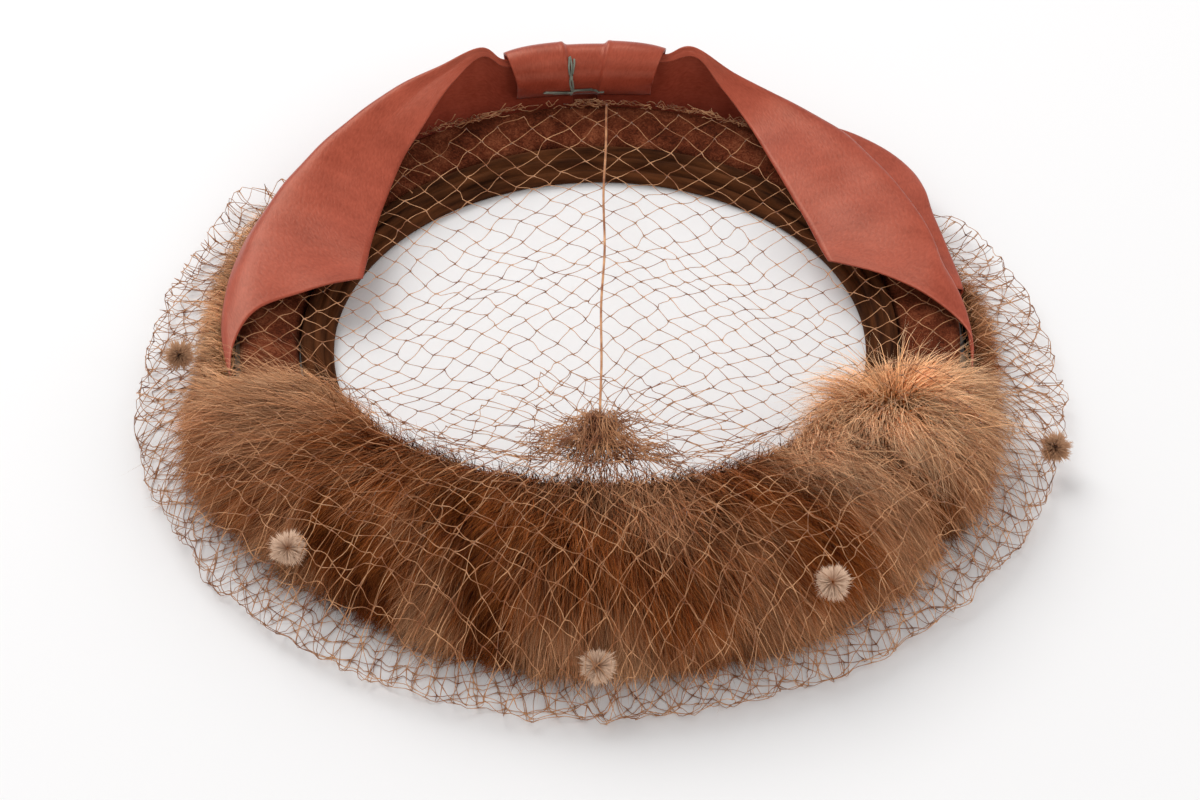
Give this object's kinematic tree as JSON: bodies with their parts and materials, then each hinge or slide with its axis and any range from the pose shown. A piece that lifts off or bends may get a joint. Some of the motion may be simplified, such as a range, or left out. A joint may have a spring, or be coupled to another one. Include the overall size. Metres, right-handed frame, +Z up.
{
  "type": "fur-trimmed ring hat with veil",
  "caption": "Ring-shaped hat: hollow felt ring, crescent of deep fur in front, folded satin wings and knot at the back, and a dotted net veil.",
  "frame": {"origin": "bottom centre of the whole hat's box, on the surface that the hat rests on", "axes": "+Z up through the head opening, -Y towards the fur at the front, +Y towards the satin knot at the back, +X to the right seen from the front"},
  "size_m": [0.2586, 0.2526, 0.0465],
  "materials": {
    "felt": "napped wool felt, dark brown, mottled",
    "velvet": "draped brown velvet",
    "fur": "deep fur, golden brown with dark undercoat",
    "satin": "rust-coloured satin ribbon",
    "net": "fine tan veiling net",
    "chenille": "pinkish tan chenille"
  },
  "bodies": {
    "root": {"felt_ring": "felt", "inner_band": "velvet", "fur_roll": "fur", "ribbon_left": "satin", "ribbon_right": "satin", "satin_knot": "satin", "veil_net": "net", "draw_thread": "net", "veil_gather": "net", "chenille_dot_1": "chenille", "chenille_dot_2": "chenille", "chenille_dot_3": "chenille", "chenille_dot_4": "chenille", "chenille_dot_5": "chenille"}
  },
  "joints": []
}
